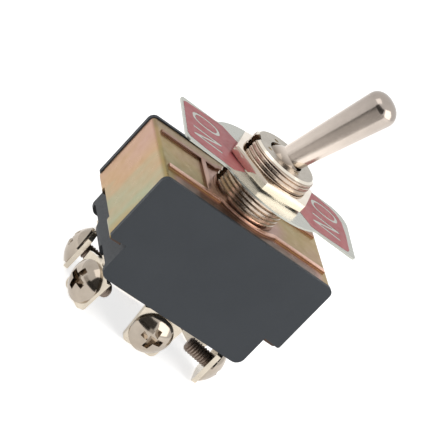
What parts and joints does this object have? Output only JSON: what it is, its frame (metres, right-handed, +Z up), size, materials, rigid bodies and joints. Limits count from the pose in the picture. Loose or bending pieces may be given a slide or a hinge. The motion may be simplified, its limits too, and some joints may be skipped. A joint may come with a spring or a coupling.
{
  "type": "toggle switch",
  "caption": "Two-pole toggle switch: stepped black body in a folded steel frame, threaded bushing with hex nut and printed plate, leaning bat lever and screw terminals",
  "frame": {"origin": "on the bushing axis, on the top face of the steel frame that the panel is drawn up against", "axes": "+Z up the bushing, +X along the body towards the end the lever leans to, +Y across the body"},
  "size_m": [0.0349, 0.0232, 0.0543],
  "materials": {
    "moulding": "black phenolic moulding, satin",
    "plated_steel": "yellow chromate plating, satin",
    "nickel_brass": "nickel plated, bright",
    "plate_aluminium": "bright sheet with red printed ends",
    "pin_steel": "ground",
    "yoke_plastic": "natural moulding",
    "spring_steel": "drawn wire",
    "rocker_brass": "bare strip",
    "contact_silver": "silver faced",
    "fibre_sheet": "brown fibre",
    "terminal_brass": "nickel plated strip, satin",
    "screw_steel": "nickel plated, bright"
  },
  "bodies": {
    "body": {"housing": "moulding", "frame": "plated_steel", "bushing": "nickel_brass", "hex_nut": "nickel_brass", "indicator_plate": "plate_aluminium", "insulator": "fibre_sheet", "fixed_contacts": "contact_silver", "terminal_near_left": "terminal_brass", "terminal_near_middle": "terminal_brass", "terminal_near_right": "terminal_brass", "terminal_far_left": "terminal_brass", "terminal_far_middle": "terminal_brass", "terminal_far_right": "terminal_brass", "terminal_screws": "screw_steel"},
    "handle": {"lever": "nickel_brass", "pivot_pin": "pin_steel", "yoke": "yoke_plastic", "spring_near": "spring_steel", "spring_far": "spring_steel"},
    "plunger_near": {"plunger_near": "pin_steel"},
    "plunger_far": {"plunger_far": "pin_steel"},
    "rocker_near": {"rocker_near": "rocker_brass", "rocker_contacts_near": "contact_silver"},
    "rocker_far": {"rocker_far": "rocker_brass", "rocker_contacts_far": "contact_silver"}
  },
  "joints": [
    {"name": "lever", "type": "hinge", "parent": "body", "child": "handle", "pos_m": [0, 0, 0.008], "axis": [0, 1, 0], "range_deg": [-39, 0]},
    {"name": "rocker_near", "type": "hinge", "parent": "body", "child": "rocker_near", "pos_m": [0, -0.0045, -0.0138], "axis": [0, 1, 0], "range_deg": [0, 11]},
    {"name": "rocker_far", "type": "hinge", "parent": "body", "child": "rocker_far", "pos_m": [0, 0.0045, -0.0138], "axis": [0, 1, 0], "range_deg": [0, 11]},
    {"name": "plunger_near", "type": "slide", "parent": "handle", "child": "plunger_near", "axis": [0.3338, 0, 0.9426], "range_m": [0, 0.0008], "stiffness_N_per_m": 1500, "springref_m": -0.0006, "deforming": ["spring_near"]},
    {"name": "plunger_far", "type": "slide", "parent": "handle", "child": "plunger_far", "axis": [0.3338, 0, 0.9426], "range_m": [0, 0.0008], "stiffness_N_per_m": 1500, "springref_m": -0.0006, "deforming": ["spring_far"]}
  ],
  "couplings": [
    {"joint": "rocker_near", "follows": "lever", "ratio": -0.28205},
    {"joint": "rocker_far", "follows": "lever", "ratio": -0.28205}
  ]
}
